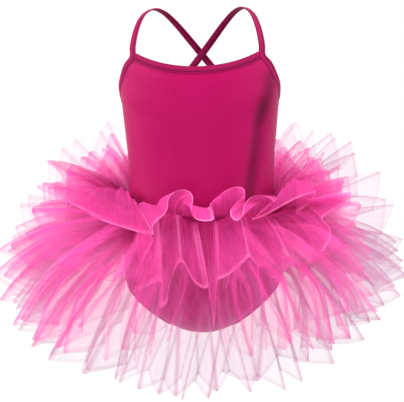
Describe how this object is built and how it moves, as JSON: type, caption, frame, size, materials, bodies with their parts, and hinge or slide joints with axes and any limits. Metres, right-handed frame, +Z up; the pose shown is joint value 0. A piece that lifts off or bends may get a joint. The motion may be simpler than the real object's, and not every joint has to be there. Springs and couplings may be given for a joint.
{
  "type": "ballet dress",
  "caption": "Child's camisole ballet dress in fuchsia knit, with crossed back straps and a gathered pink tulle tutu.",
  "frame": {"origin": "midway between the tops of the two shoulder straps, where the wearer's shoulders carry the dress", "axes": "+X to the right of someone facing the front, -Y out of the front, +Z up"},
  "size_m": [0.506, 0.4196, 0.4552],
  "materials": {
    "knit": "smooth stretch jersey with a soft sheen",
    "binding": "folded jersey binding, twin stitched",
    "pink_tulle": "soft nylon tulle, see-through",
    "pale_tulle": "soft nylon tulle, nearly clear"
  },
  "bodies": {
    "root": {"front_panel": "knit", "back_panel": "knit", "neck_binding": "binding", "back_binding": "binding", "strap_right": "binding", "strap_left": "binding", "leg_binding_right": "binding", "leg_binding_left": "binding", "waist_tape": "binding", "tulle_top_front": "pink_tulle", "tulle_top_back": "pink_tulle", "tulle_mid_front": "pink_tulle", "tulle_mid_back": "pink_tulle", "tulle_long_front": "pink_tulle", "tulle_long_back": "pink_tulle", "tulle_under_front": "pale_tulle", "tulle_under_back": "pale_tulle"}
  },
  "joints": []
}
